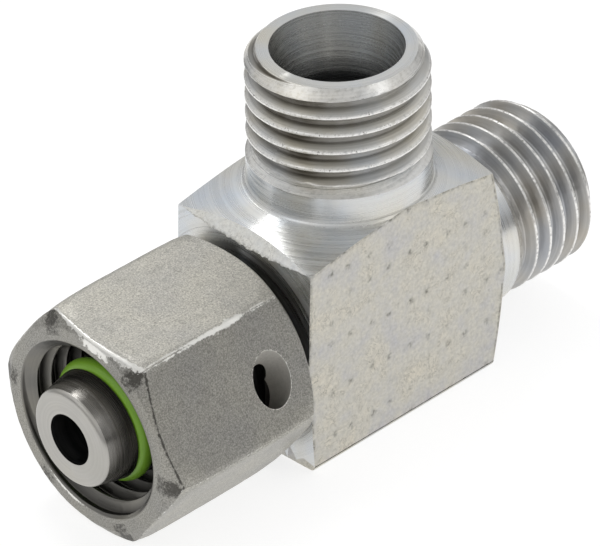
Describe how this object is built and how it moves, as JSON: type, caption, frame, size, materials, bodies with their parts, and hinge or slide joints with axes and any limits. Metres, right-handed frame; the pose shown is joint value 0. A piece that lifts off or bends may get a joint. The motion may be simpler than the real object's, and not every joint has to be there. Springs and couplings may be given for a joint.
{
  "type": "swivel tee fitting",
  "caption": "Hydraulic run tee with two male threaded cone ends and, opposite the run end, a hexagon nut that swivels on a sealing nose.",
  "frame": {"origin": "point where the run axis and the branch axis cross, inside the block", "axes": "+X along the run towards its male end, with the swivel nut at -X; +Z along the branch; the raw side faces are +Y and -Y"},
  "size_m": [0.0489, 0.0192, 0.0301],
  "materials": {
    "plated_steel": "zinc plated, turned and raw drawn faces",
    "nut_steel": "zinc plated, fine grained flats",
    "seal_rubber": "satin green",
    "wire_steel": "drawn"
  },
  "bodies": {
    "tee": {"tee_body": "plated_steel", "o_ring": "seal_rubber"},
    "nut": {"swivel_nut": "nut_steel", "retaining_wire": "wire_steel"}
  },
  "joints": [
    {"name": "nut_swivel", "type": "hinge", "parent": "tee", "child": "nut", "pos_m": [-0.015, 0, 0], "axis": [1, 0, 0], "continuous": true}
  ]
}
